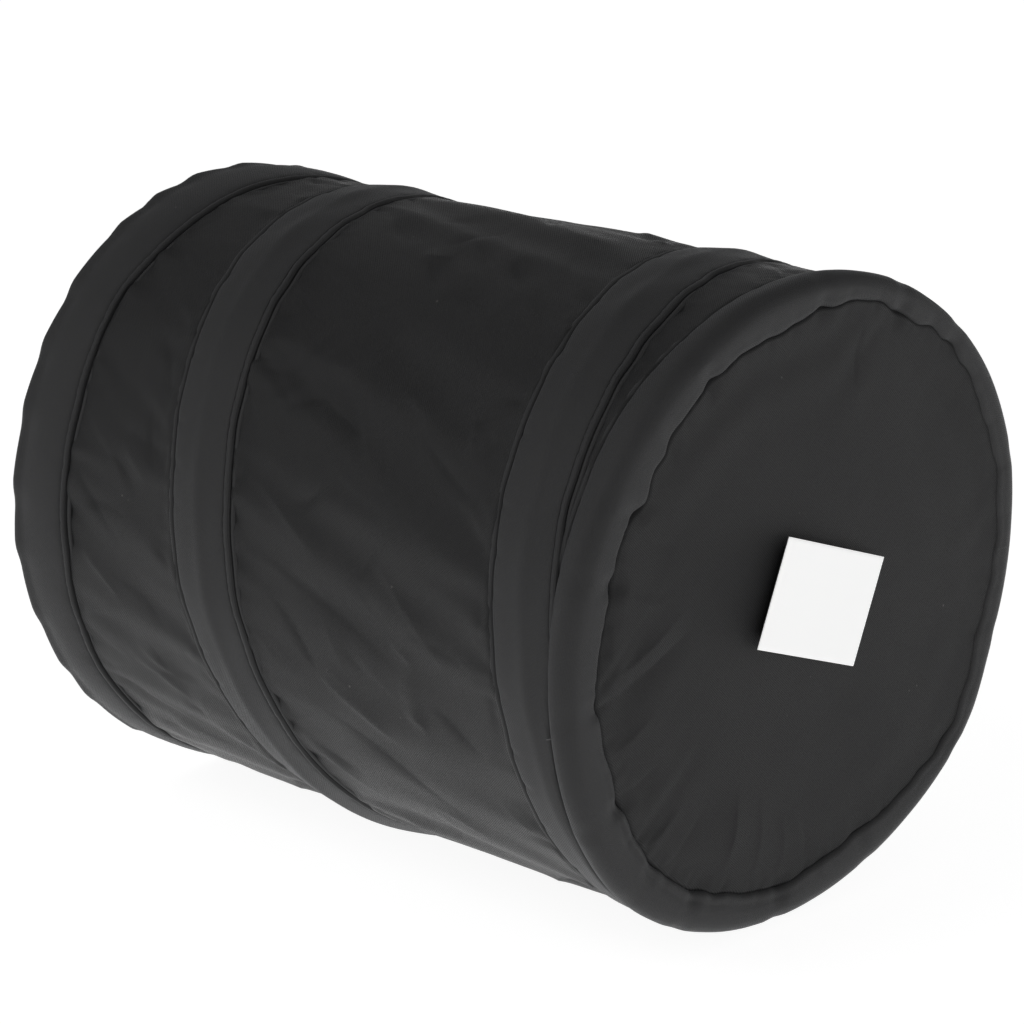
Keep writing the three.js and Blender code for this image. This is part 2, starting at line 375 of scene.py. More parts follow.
def woven(name, dark, light, roughness, shine, sheen, weave_depth=0.06):
    """Coated plain weave. Its threads run on the cloth's own flat coordinates, in metres."""
    made, tree, shader = new_material(name)
    links = tree.links
    flat = tree.nodes.new("ShaderNodeUVMap")
    flat.uv_map = "cloth"
    parts = tree.nodes.new("ShaderNodeSeparateXYZ")
    links.new(flat.outputs[0], parts.inputs[0])
    frequency = 1 / (THREAD_PITCH * MM)
    body = object_places(tree)
    wander = noise_node(tree, body, 90.0, 1.0)
    u, v = (times(tree, parts.outputs[i], frequency) for i in (0, 1))
    u = math_node(tree, "ADD", u, times(tree, wander, 1.4))
    v = math_node(tree, "ADD", v, times(tree, wander, 1.1))
    cell = math_node(tree, "ADD", math_node(tree, "FLOOR", u), math_node(tree, "FLOOR", v))
    over = math_node(tree, "PINGPONG", cell, 1.0)
    waves = (math_node(tree, "SINE", times(tree, way, math.pi)) for way in (u, v))
    warp, weft = (math_node(tree, "ABSOLUTE", wave) for wave in waves)
    swap = tree.nodes.new("ShaderNodeMix")
    links.new(over, swap.inputs[0])
    links.new(warp, swap.inputs[2])
    links.new(weft, swap.inputs[3])
    thread_height = math_node(tree, "POWER", swap.outputs[0], 0.7)

    fuzz = noise_node(tree, body, 2600.0, 2.0, 0.6)
    blotch = noise_node(tree, body, 22.0, 3.0, 0.55)
    # The colour is darker where a thread lies low: painted shade between the threads. The blotch and fuzz
    # shares are random tone of the cloth.
    tone = times(tree, thread_height, ramp(tree, blotch, 0.3, 0.7, 0.86, 1.12))
    tone = times(tree, tone, ramp(tree, fuzz, 0.25, 0.8, 0.75, 1.25))
    colour = mixed(tree, ramp(tree, tone, 0.1, 1.1, 0.0, 1.0), dark, light)

    specks = tree.nodes.new("ShaderNodeTexVoronoi")
    specks.inputs["Scale"].default_value = 190.0
    links.new(body, specks.inputs["Vector"])
    speck = ramp(tree, specks.outputs["Distance"], 0.035, 0.075, 1.0, 0.0)
    rare = ramp(tree, noise_node(tree, body, 60.0, 1.0), 0.6, 0.66, 0.0, 0.55)
    dusty = mixed(tree, times(tree, speck, rare), colour, DUST)
    links.new(dusty, shader.inputs["Base Color"])

    uneven = ramp(tree, blotch, 0.3, 0.7, roughness - 0.05, roughness + 0.07)
    links.new(uneven, shader.inputs["Roughness"])
    tune(shader, Specular_IOR_Level=shine, Sheen_Weight=sheen, Sheen_Roughness=0.3)
    tune(shader, Sheen_Tint=(0.8, 0.82, 0.86, 1))

    grain = math_node(tree, "ADD", thread_height, times(tree, fuzz, 0.5))
    relieved(tree, shader, grain, 0.7, weave_depth)
    return made


def grained(name, colour, shades, grain, rough, relief=0, **inputs):
    """A material whose shade, roughness and relief all follow one fine grain, given as noise settings."""
    made, tree, shader = new_material(name)
    fine = noise_node(tree, object_places(tree), *grain)
    dark, light = ([min(1, c * shade) for c in colour] for shade in shades)
    tree.links.new(mixed(tree, fine, dark, light), shader.inputs["Base Color"])
    tree.links.new(ramp(tree, fine, 0.3, 0.7, *rough), shader.inputs["Roughness"])
    if relief:
        relieved(tree, shader, fine, 0.5, relief)
    tune(shader, **inputs)
    return made


def thread_material(name, colour):
    return grained(name, colour, (0.6, 1.4), (3000.0, 2.0), (0.5, 0.75), Sheen_Weight=0.2)


def metal_material(name, colour, roughness):
    rough = (roughness - 0.08, roughness + 0.1)
    return grained(name, colour, (0.8, 1), (900.0, 4.0, 0.6), rough, Metallic=1.0)


def plastic_material(name, colour, roughness, scale=700.0, depth=0.02, variation=0.12, **inputs):
    shades, grain = (1 - variation, 1 + variation), (scale, 3.0, 0.6)
    rough = (roughness - 0.05, roughness + 0.05)
    return grained(name, colour, shades, grain, rough, depth, **inputs)


def glow(strength):
    return {"Emission_Color": (1, 1, 1, 1), "Emission_Strength": strength}


WALL_CLOTH = woven("wall_weave", (0.0065, 0.0065, 0.0067), (0.02, 0.02, 0.0207), 0.36, 0.24, 0.05, 0.1)
BAND_CLOTH = woven("channel_weave", (0.019, 0.019, 0.0193), (0.045, 0.045, 0.0461), 0.46, 0.15, 0.13)
PANEL_CLOTH = woven("panel_weave", (0.008, 0.008, 0.0082), (0.022, 0.022, 0.0227), 0.42, 0.17, 0.02, 0.1)
THREAD = thread_material("sewing_thread", (0.007, 0.007, 0.008))
LINT = thread_material("loose_fibre", (0.035, 0.035, 0.035))
STEEL = metal_material("spring_steel", (0.55, 0.55, 0.57), 0.3)
CRIMP = metal_material("crimp_metal", (0.7, 0.7, 0.71), 0.4)
CAP = plastic_material("cap_plastic", (0.02, 0.02, 0.022), 0.5)
NAP = plastic_material("hook_and_loop_nap", (0.012, 0.012, 0.013), 0.9, 2500.0, 0.25, 0.5)
# The liner's emission is painted light: it glows a little, though it is no lamp, so that its white shows
# pure white.
LINER_PAINTED_GLOW = plastic_material("release_liner", (0.96, 0.96, 0.955), 0.4, 300.0, 0.004, 0.02, **glow(0.2))


def finish_piece(piece, material, body, replaced=(), squashes=False):
    piece.data.materials.clear()
    piece.data.materials.append(material)
    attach(piece, body)
    if squashes:
        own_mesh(piece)
    if replaced:
        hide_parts(*replaced)


# ----------------------------------------
# Cloth at rest: the wall and the end panel are cut a little larger than the space they are sewn into, and
# a cloth simulation finds the creases.

SIM_SCALE = 0.02  # the simulation works at 20 times real size
SIM_FRAMES = 18
DRAW_IN_FRAMES = 6


def settle(name, cut, sewn, held, wrap):
    """Points of a sheet, cut to the grid `cut`, once it is sewn down at `sewn` where `held`; in mm."""
    rows, columns = sewn.shape[:2]
    sheet = mesh_object(name, cut * SIM_SCALE, grid_faces(rows, columns, wrap))
    sheet.shape_key_add(name="cut")
    key = sheet.shape_key_add(name="sewn")
    key.data.foreach_set("co", (sewn * SIM_SCALE).ravel())
    key.value = 0.0
    key.keyframe_insert("value", frame=1)
    key.value = 1.0
    key.keyframe_insert("value", frame=DRAW_IN_FRAMES)
    pinned = sheet.vertex_groups.new(name="held")
    pinned.add(np.flatnonzero(held.ravel()).tolist(), 1.0, "REPLACE")
    cloth = sheet.modifiers.new("cloth", "CLOTH")
    tune_cloth(cloth)
    scene = bpy.context.scene
    for frame_number in range(1, SIM_FRAMES + 1):
        scene.frame_set(frame_number)
    settled = sheet.evaluated_get(bpy.context.evaluated_depsgraph_get()).data
    points = np.empty(len(settled.vertices) * 3, np.float32)
    settled.vertices.foreach_get("co", points)
    bpy.data.actions.remove(sheet.data.shape_keys.animation_data.action)
    bpy.data.meshes.remove(sheet.data)
    scene.frame_set(1)
    return points.reshape(rows, columns, 3) / SIM_SCALE


def tune_cloth(cloth):
    """A light, stiff, closely woven cloth with no weight, so that only its spare size shapes it."""
    settings = cloth.settings
    settings.quality = 6
    settings.mass = 0.2
    stiffness = {"tension": 20, "compression": 20, "shear": 8, "bending": 0.08}
    for kind, value in stiffness.items():
        setattr(settings, kind + "_stiffness", value)
    for kind in ("tension", "compression", "shear"):
        setattr(settings, kind + "_damping", 5)
    settings.air_damping = 2
    settings.vertex_group_mass = "held"
    settings.effector_weights.gravity = 0
    cloth.collision_settings.use_collision = False
    cloth.point_cache.frame_start = 1
    cloth.point_cache.frame_end = SIM_FRAMES


def sampled(grid, row, column, wrap=False):
    """Values of a grid at fractional row and column numbers, on smooth curves through its points."""
    rows, columns = grid.shape
    row0, column0 = np.floor(row).astype(int), np.floor(column).astype(int)
    made = 0.0
    for i, across in enumerate(curve_weights(row - row0)):
        at = row0 + i - 1
        at = at % rows if wrap else np.clip(at, 0, rows - 1)
        for j, down in enumerate(curve_weights(column - column0)):
            made = made + across * down * grid[at, np.clip(column0 + j - 1, 0, columns - 1)]
    return made


def curve_weights(t):
    """Catmull-Rom weights of the four points round a place t between the middle two."""
    return (
        t * (-0.5 + t * (1 - 0.5 * t)),
        1 + t * t * (-2.5 + 1.5 * t),
        t * (0.5 + t * (2 - 1.5 * t)),
        t * t * (-0.5 + 0.5 * t),
    )


def fold_frame(x, y, start, end):
    """How far along a fold from start to end, as a share, and how far aside of it, in mm."""
    reach = math.hypot(end[0] - start[0], end[1] - start[1])
    ux, uy = (end[0] - start[0]) / reach, (end[1] - start[1]) / reach
    run = (x * ux + y * uy) / reach
    return run, -x * uy + y * ux, ux, uy


def fold_height(run, aside, half_width, depth):
    return depth * bump(aside / half_width) * bump((run - 0.5) / 0.62)


def fold_spare(run, aside, half_width, depth):
    """How far the cut cloth is shifted aside, to have just the spare width that the fold takes up."""
    spare = 1.3 * depth * depth / half_width
    return 0.5 * spare * np.tanh(aside / half_width * 1.5) * bump((run - 0.5) / 0.75) * bump(aside / 30)


# ----------------------------------------
# The wall

WALL_ROWS, WALL_COLUMNS = 245, 93  # of the simulated sheet
FINER = 2  # times as fine is the finished one
ARC = RADIUS * math.pi / 180  # mm of cloth per degree of turn

WALL_SPARE = 0.0008  # spare share of the cloth round the tunnel
WALL_TWIST = -0.006  # mm of turning per mm along, which slants the creases
RELIEF_SHARE = 0.85
DEEPEST, HIGHEST = 3.4, 0.9  # mm under and over its own radius that the wall may lie

# The main folds that cross the wall: (along, turn) at their two ends, half width and depth in mm.
MAIN_FOLDS = [
    ((69, 139), (98, 150), 4.2, -2.0),
    ((96, 142), (116, 150), 3.8, -1.8),
    ((106, 141), (128, 157), 3.2, 1.2),
    ((127, 143), (160, 158), 5.0, -2.4),
    ((54, 114), (114, 127), 6.0, -1.1),
    ((79, 159), (114, 172), 5.0, 1.5),
    ((84, 169), (143, 190), 5.5, -1.6),
    ((122, 167), (160, 186), 4.5, 1.4),
    ((101, 187), (137, 206), 5.0, 1.5),
    ((104, 198), (152, 220), 5.0, -1.5),
    ((131, 113), (152, 122), 4.0, -1.2),
    ((20, 152), (44, 172), 4.0, 1.3),
    ((19, 163), (42, 181), 4.0, -1.5),
    ((22, 205), (52, 222), 4.0, 1.2),
    ((70, 222), (120, 240), 4.5, 1.3),
]


def helix_offset(along, turn):
    """Signed distance along the tunnel from the nearest pass of the helical wire, in mm."""
    best = np.full(np.broadcast(along, turn).shape, 1e3)
    for k in (-1, 0, 1, 2):
        passing = (turn % 360) + 360 * k
        gap = along - helix_along(passing)
        live = (passing >= HELIX_START) & (passing <= HELIX_END) & (np.abs(gap) < np.abs(best))
        best = np.where(live, gap, best)
    return best


def all_folds():
    """The main folds, and others like them on the far side."""
    drawn = random.Random(11)
    folds = list(MAIN_FOLDS)
    for turn in range(0, 360, 14):
        if 105 < turn < 222:
            continue
        at = drawn.uniform(50, 120)
        long = drawn.uniform(22, 45)
        slope = drawn.uniform(9, 15) * long / 30
        depth = drawn.choice((-1, -1, 1)) * drawn.uniform(0.9, 1.7)
        folds.append(((at, turn), (at + long, turn + slope), drawn.uniform(3.8, 5.5), depth))
    return folds


def wall_folds(along, turn):
    """Each fold's frame at each point of the wall, with its half width and depth."""
    for (a0, t0), (a1, t1), half_width, depth in all_folds():
        start, end = (a0, t0 * ARC), (a1, t1 * ARC)
        run, aside, ux, uy = fold_frame(along - a0, turn_gap(turn, t0) * ARC, start, end)
        yield run, aside + 2.0 * np.sin(run * 3.4 + a0), ux, uy, half_width, depth


def seam_puckers(turn, seed, spacing, width):
    """A row of small random pulls along a seam: depth from 0 to 1 at each turn, and reach in mm."""
    drawn = random.Random(seed)
    made = np.zeros(np.shape(turn))
    reach = np.full(np.shape(turn), 6.0)
    at = drawn.uniform(0, spacing)
    while at < 360:
        deep, far = drawn.uniform(0.35, 1.0), drawn.uniform(4, 11)
        here = bump(turn_gap(turn, at) / (width * drawn.uniform(0.7, 1.3)))
        reach = np.where(here > made, far, reach)
        made = np.maximum(made, here * deep)
        at += spacing * drawn.uniform(0.5, 1.5)
    return made, reach


def free_width(along, turn):
    """How far a point of the wall is from the nearest seam, in mm: below 0 where it is covered."""
    past_band = np.abs(helix_offset(along, turn)) - HELIX_HALF_WIDTH
    return np.minimum(np.minimum(past_band, along - MOUTH_BAND), LENGTH - PANEL_BAND - along)


def plain_wall_radius(along, turn):
    full = 0.8 * bump(turn_gap(turn, 76) / 48) + 0.8 * bump(turn_gap(turn, 246) / 34)
    return WALL_RADIUS + (1.9 * full - 0.6) * ease(free_width(along, turn) / 26)


def tube_points(along, turn, radius):
    return np.stack([along, radius * np.cos(np.radians(turn)), radius * np.sin(np.radians(turn))], -1)


def wall_grid(rows, columns):
    turn = np.linspace(0, 360, rows, endpoint=False)
    return np.meshgrid(np.linspace(WALL_FROM, WALL_TO, columns), turn)


def wall_relief():
    """The wall's creases, as a grid of heights in mm over its plain radius."""
    along, turn = wall_grid(WALL_ROWS, WALL_COLUMNS)
    free = free_width(along, turn)
    loose = ease((free - 0.5) / 8)
    seed = 0.12 * waver(turn + 2.4 * along, 5, 20, 40)
    along_cut, turned = along.copy(), WALL_TWIST * (along - LENGTH / 2)
    for run, aside, ux, uy, half_width, depth in wall_folds(along, turn):
        seed = seed + 0.7 * fold_height(run, aside, half_width, depth)
        shift = fold_spare(run, aside, half_width, depth)
        along_cut = along_cut - uy * shift
        turned = turned + ux * shift
    turned = turned + 0.16 * waver(turn - 1.7 * along, 6, 5, 14)
    turned = turned + 0.05 * waver(turn + 3.1 * along, 7, 15, 34)
    along_cut = along_cut + 0.10 * waver(turn + 4.3 * along, 8, 9, 26)
    plain = plain_wall_radius(along, turn)
    sewn = tube_points(along, turn, plain + seed * loose)
    cut = tube_points(along_cut, turn + turned / ARC, plain * (1 + WALL_SPARE))
    settled = settle("settling_wall", cut, sewn, free < 0.3, wrap=True)
    height = np.hypot(settled[..., 1], settled[..., 2]) - plain
    height = RELIEF_SHARE * height
    return np.where(height < 0, DEEPEST * np.tanh(height / DEEPEST), HIGHEST * np.tanh(height / HIGHEST))


SMALL_CREASES = 260


def crease_places():
    """The small sharp creases: middle along and turn, slant, length and height in mm."""
    for (a0, t0), (a1, t1), _, depth in MAIN_FOLDS:
        slant = math.atan2((t1 - t0) * ARC, a1 - a0)
        yield (a0 + a1) / 2, (t0 + t1) / 2, slant, math.hypot(a1 - a0, (t1 - t0) * ARC), 0.4 * depth
    drawn = random.Random(77)
    for _ in range(SMALL_CREASES):
        slant = math.radians(drawn.gauss(26, 20) if drawn.random() < 0.7 else drawn.uniform(-80, 80))
        height = drawn.choice((-1, -1, 1)) * drawn.uniform(0.2, 0.85)
        yield drawn.uniform(22, 182), drawn.uniform(0, 360), slant, drawn.uniform(8, 32), height


def sharp_creases(along, turn):
    """Small sharp creases in the wall, steep on one side and easy on the other, in mm."""
    drawn = random.Random(78)
    made = np.zeros(along.shape)
    for at, around_at, slant, long, height in crease_places():
        steep, easy = drawn.uniform(1.0, 1.8), drawn.uniform(3, 7)
        x, y = along - at, turn_gap(turn, around_at) * ARC
        near = np.hypot(x, y) < long / 2 + 30
        x, y = x[near], y[near]
        run = (x * math.cos(slant) + y * math.sin(slant)) / (long / 2)
        aside = -x * math.sin(slant) + y * math.cos(slant) + 1.2 * np.sin(run * 2.3 + at)
        side = np.where(aside > 0, aside / steep, -aside / easy)
        made[near] += height * np.exp(-side) * bump(run)
    return made * ease((free_width(along, turn) - 1.0) / 6)


def seam_relief(along, turn):
    """How the wall dives under the edges of the bands, with the small puckers beside the stitching."""
    offset = helix_offset(along, turn)
    past_band = np.abs(offset) - SKIRT
    mouth_gap = along - MOUTH_BAND - mouth_edge(turn) - SKIRT + HELIX_HALF_WIDTH
    after = np.minimum(np.where(offset > 0, past_band, 99), mouth_gap)
    panel_gap = LENGTH - PANEL_BAND + panel_edge(turn) - 0.6 - along
    before = np.minimum(np.where(offset < 0, past_band, 99), panel_gap)
    ring = turn[:, :1]
    pull, reach = seam_puckers(ring, 21, 6.0, 2.2)
    pull_left, reach_left = seam_puckers(ring, 22, 8.5, 2.0)
    pucker = 0.38 * pull * bump((after - 0.4) / reach)
    pucker = pucker + 0.25 * pull_left * bump((before - 0.4) / reach_left)
    hidden = sum(1.2 * (1 - ease(gap / 0.9 + 1)) * (gap > -20) for gap in (after, before))
    return -pucker - np.minimum(hidden, 1.2)


def wall():
    rows, columns = FINER * WALL_ROWS, FINER * (WALL_COLUMNS - 1) + 1
    along, turn = wall_grid(rows, columns)
    row, column = np.meshgrid(np.arange(rows) / FINER, np.arange(columns) / FINER, indexing="ij")
    relief = sampled(wall_relief(), row, column, wrap=True)
    relief = relief + sharp_creases(along, turn) + seam_relief(along, turn)
    radius = plain_wall_radius(along, turn) + relief
    uvs = flat_places(along, np.radians(turn) * RADIUS)
    made = cloth_sheet("wall_cloth", place(along, turn, radius), uvs, wrap=True, outward=-1.0)
    sections = [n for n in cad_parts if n.startswith("wall_section_")]
    finish_piece(made, WALL_CLOTH, "mouth_end", sections, squashes=True)


# ----------------------------------------
# The helical wire in its sewn strip

STITCH_PITCH = 3.0
STITCH_LENGTH = 2.3
STITCH_RADIUS = 0.15
STITCH_SINK = 0.25  # of a stitch's ends into the cloth
ALONG_STITCH = np.array([-1, -0.6, 0, 0.6, 1])
STITCH_LINE = 8.5  # from the middle of the strip
FLANGE = 1.5  # from the stitching to the folded edge
STRIP_THICKNESS = 0.25


def strip_profile():
    """Across the strip, as (from its middle, rise over the wall) in mm, with a groove at each edge."""
    return np.array([
        (-11.6, -0.45), (-11.3, -0.02), (-11.0, 0.1), (-10.6, 0.08), (-10.3, -0.15), (-10.1, -0.6),
        (-9.9, -0.62), (-9.7, -0.1), (-9.4, 0.26), (-8.9, 0.46), (-8.0, 0.62), (-6.8, 0.78),
        (-5.4, 0.93), (-4.0, 1.06), (-2.8, 1.18), (-1.7, 1.33), (-0.8, 1.44), (0.1, 1.45), (1.0, 1.34),
        (2.1, 1.16), (3.6, 0.98), (5.2, 0.84), (6.6, 0.72), (7.6, 0.62), (8.1, 0.5), (8.35, 0.33),
        (8.5, 0.16), (8.65, 0.33), (8.9, 0.5), (9.3, 0.64), (9.7, 0.62), (10.0, 0.48), (10.15, 0.2),
        (10.1, -0.3), (10.2, -0.85), (10.5, -0.8), (10.75, -0.25), (11.05, 0.04), (11.4, 0.06),
        (11.7, -0.1), (12.0, -0.5),
    ])


def helix_strip():
    turns = np.arange(HELIX_START - 4, HELIX_END + 4, 0.45)[:, None]
    profile = strip_profile()
    middle = helix_along(turns)
    across, rise = profile[:, 0][None, :], profile[:, 1][None, :] + 0 * turns
    wander = 0.26 * waver(turns, 33, 10, 48)
    narrowed = 1 - 0.13 * bump((turns - 515) / 45) * (across > 0)
    along = middle + across * narrowed + wander * (np.abs(across) / 10)
    along = np.clip(along, MOUTH_BAND - 3.0, LENGTH - PANEL_BAND + 4.0)
    left_pull, _ = seam_puckers(turns, 31, 11.0, 1.5)
    right_pull, _ = seam_puckers(turns, 32, 7.0, 1.6)
    lift = ease(waver(turns, 34, 3, 14))
    rise = rise - 0.3 * left_pull * bump((across + 9.0) / 2.6) * (across > -10)
    rise = rise - 0.15 * right_pull * bump((across - STITCH_LINE) / 2.2)
    rise = rise + 0.3 * lift * ease((across - STITCH_LINE) / FLANGE) * (across < 10.16)
    arc = np.radians(turns) * RADIUS
    between = 0.5 - 0.5 * np.cos(2 * math.pi * arc / STITCH_PITCH)
    rise = rise + 0.1 * between * bump((across - STITCH_LINE) / 0.6)
    rise = rise + 0.15 * waver(turns + 0.9 * across, 35, 6, 22) * bump(across / 8.5)
    rise = rise + 1.1 * bump((turns - 246) / 34) * bump(across / 10)
    points = place(along, turns, WALL_RADIUS + rise)
    uvs = flat_places(across, arc)
    made = cloth_sheet("helix_strip_cloth", points, uvs, thickness=STRIP_THICKNESS, outward=-1.0)
    finish_piece(made, BAND_CLOTH, "mouth_end", ["helix_wire_band"], squashes=True)


def helix_wire():
    turns = np.arange(HELIX_START, HELIX_END, 2.5)
    path = place(helix_along(turns), turns, HELIX_WIRE_AT)
    made = tube_mesh("helix_wire", path, HELIX_WIRE_RADIUS)
    finish_piece(made, STEEL, "mouth_end", ["helix_spring_wire"], squashes=True)


def stitch(along, turn, radius, lean_along=0.0):
    """One stitch of thread lying along the turn, its ends sunk into the cloth."""
    half = math.degrees(STITCH_LENGTH / 2 / radius)
    rise = np.array([-STITCH_SINK, 0.02, 0.08, 0.02, -STITCH_SINK])
    return place(along + lean_along * ALONG_STITCH, turn + half * ALONG_STITCH, radius + rise)


def helix_stitches():
    paths = []
    step = math.degrees(STITCH_PITCH / RADIUS)
    turn = HELIX_START + 12
    while turn < HELIX_END - 12:
        along = helix_along(turn) + STITCH_LINE
        if MOUTH_BAND < along < LENGTH - PANEL_BAND - 0.5:
            slope = (helix_along(turn + 1) - helix_along(turn)) * step / 2
            paths.append(stitch(along, turn, WALL_RADIUS + 0.1, slope))
        turn += step
    made = joined_tubes("helix_topstitch", paths, STITCH_RADIUS)
    finish_piece(made, THREAD, "mouth_end", squashes=True)


# ----------------------------------------
# The channels of the two ends

# Where the end panel is sewn to the rim: the seam's radius at each turn, and the turns of its pinches.
SEAM_SHAPE = [
    (5, 72.6), (30, 72.2), (50, 74.4), (63, 73.1), (80, 74.2), (90, 72.6), (101, 70.3), (120, 71.7),
    (134, 70.3), (147, 68.1), (151.5, 70.7), (163, 68.8), (173, 69.5), (185, 69.6), (207, 68.2),
    (216, 69.6), (240, 70.8), (250, 70.1), (266, 71.4), (279, 69.9), (290, 69.6), (306, 71.2),
    (322, 73.0), (341, 71.6),
]
PINCHES = [18, 50, 68, 90, 121, 134, 149, 163, 186, 208, 226, 241, 266, 291, 320, 343]
PINCH_WIDTH = 3.2


def seam_radius(turn):
    return around(turn, SEAM_SHAPE) + 0.36 * waver(turn, 63, 12, 52)


def seam_depth(turn):
    """How deep the panel's seam lies, as a share: it is almost level on the far side."""
    return 1 - 0.88 * bump(turn_gap(turn, 8) / 100)


def pinch(turn, width=PINCH_WIDTH):
    made = np.zeros(np.shape(turn))
    for i, at in enumerate(PINCHES):
        made = np.maximum(made, (0.5 + 0.5 * ((i * 7) % 5) / 4) * bump(turn_gap(turn, at) / width))
    return made


def rim_sheet(name, along, radius, turn):
    """A ring of cloth from a grid of places, one row per turn."""
    step = np.hypot(np.diff(along, axis=1), np.diff(radius, axis=1))
    run = np.concatenate([np.zeros((len(turn), 1)), np.cumsum(step, axis=1)], 1)
    uvs = flat_places(run, np.radians(turn) * RADIUS)
    return cloth_sheet(name, place(along, turn, radius), uvs, wrap=True, outward=-1.0)


RIM_TURNS = np.arange(0, 360, 0.5)[:, None]  # one row of points each


def scallops():
    """The mouth's edge hangs between gathers: a saw-tooth of depths, as (turn, mm) points."""
    drawn = random.Random(91)
    points, turn = [], 2.0
    while turn < 346:
        points.append((turn, drawn.uniform(0.0, 0.15)))
        points.append((turn + drawn.uniform(1.5, 3.0), drawn.uniform(0.8, 1.3)))
        turn += drawn.uniform(9, 15)
    return points


SCALLOPS = scallops()


def mouth_outline():
    """The mouth's rim in section, as (along, radius): gathered wall, stitched flange, roll and hem."""
    from_edge = [
        (1.9, 77.5), (1.6, 77.95), (1.2, 78.05), (0.75, 77.9), (0.4, 77.3), (0.1, 77.1), (0.0, 77.7),
        (0.1, 78.3), (-0.1, 78.7), (-0.5, 78.85), (-1.0, 78.8), (-1.3, 78.6), (-1.5, 78.35),
        (-1.7, 78.55), (-2.1, 78.85), (-3.2, 79.12), (-4.8, 79.38), (-6.8, 79.6),
    ]
    from_face = [
        (9.6, 79.72), (7.4, 79.72), (5.4, 79.66), (4.0, 79.7), (3.0, 79.95), (2.2, 80.1), (1.4, 80.0),
        (0.7, 79.5), (0.2, 78.6), (0.0, 77.5), (0.2, 76.0), (0.7, 74.7), (1.6, 74.0), (3.0, 73.8),
        (5.0, 74.1), (7.5, 74.6), (8.8, 75.0), (9.2, 75.35), (9.0, 75.7),
    ]
    return np.array([(MOUTH_BAND + a, r) for a, r in from_edge] + from_face)


def mouth_band():
    edge, outline, turn = MOUTH_BAND, mouth_outline(), RIM_TURNS
    along, radius = (outline[None, :, i] + 0 * turn for i in (0, 1))
    pull, _ = seam_puckers(turn, 41, 9.0, 1.8)
    between = 0.5 - 0.5 * np.cos(2 * math.pi * np.radians(turn) * RADIUS / STITCH_PITCH)
    stepped = around(turn, SCALLOPS)
    lower = 0.2 * pull * bump((along - edge + 2.0) / 2.5) + stepped * bump((along - 1.0) / 7)
    raised = 0.1 * between * bump((along - edge + 1.5) / 0.6)
    raised = raised + 0.12 * waver(turn + 0.8 * along, 43, 5, 18) * bump((along - 9) / 8)
    radius = radius + np.where(radius > 76.6, raised - lower, 0)
    edge_shift = mouth_edge(turn) * ease((along - 6) / (edge - 8))
    along = along + edge_shift + 0.2 * waver(turn, 44, 9, 26) * bump((along - edge) / 5)
    made = rim_sheet("mouth_channel_cloth", along, radius, turn)
    finish_piece(made, BAND_CLOTH, "mouth_end", ["mouth_rim_band"])


FACE_RADIUS = 77.2  # where the panel's rim turns from its outside to its face
FACE_INNER = 70.8
SEAM_STITCH = 2.2  # from the seam out to the row of stitches


def panel_outline():
    """The panel's rim in section, as (along, radius): groove, soft roll, face to the seam, and back."""
    outer = [
        (-1.8, 77.3), (-1.5, 77.85), (-1.1, 77.95), (-0.7, 77.7), (-0.4, 76.9), (-0.1, 76.5),
        (0.05, 77.3), (0.25, 78.1), (0.8, 78.65), (1.8, 79.0), (3.0, 79.25), (4.4, 79.5), (5.8, 79.7),
        (7.0, 79.75), (8.0, 79.5), (8.9, 79.0), (9.5, 78.2),
    ]
    face = [
        (-0.12, FACE_RADIUS), (-0.02, 76.2), (0.0, 75.2), (-0.05, 74.2), (-0.1, 73.3), (-0.15, 72.5),
        (-0.25, 71.9), (-0.45, 71.35), (-0.9, 70.95), (-1.8, FACE_INNER), (-2.8, FACE_INNER),
        (-3.3, 71.4), (-3.8, 72.6), (-4.6, 73.4),
    ]
    inner = [(3.0, 74.2), (1.2, 75.2)]
    starts = ((LENGTH - PANEL_BAND, outer), (LENGTH, face), (LENGTH - PANEL_BAND, inner))
    return np.array([(start + a, r) for start, places in starts for a, r in places])


def flange_at(turn):
    """How much the rim's sewn-down edge shows its stitching: most low on the side that faces -Y."""
    return 0.12 + 0.88 * bump(turn_gap(turn, 234) / 46)


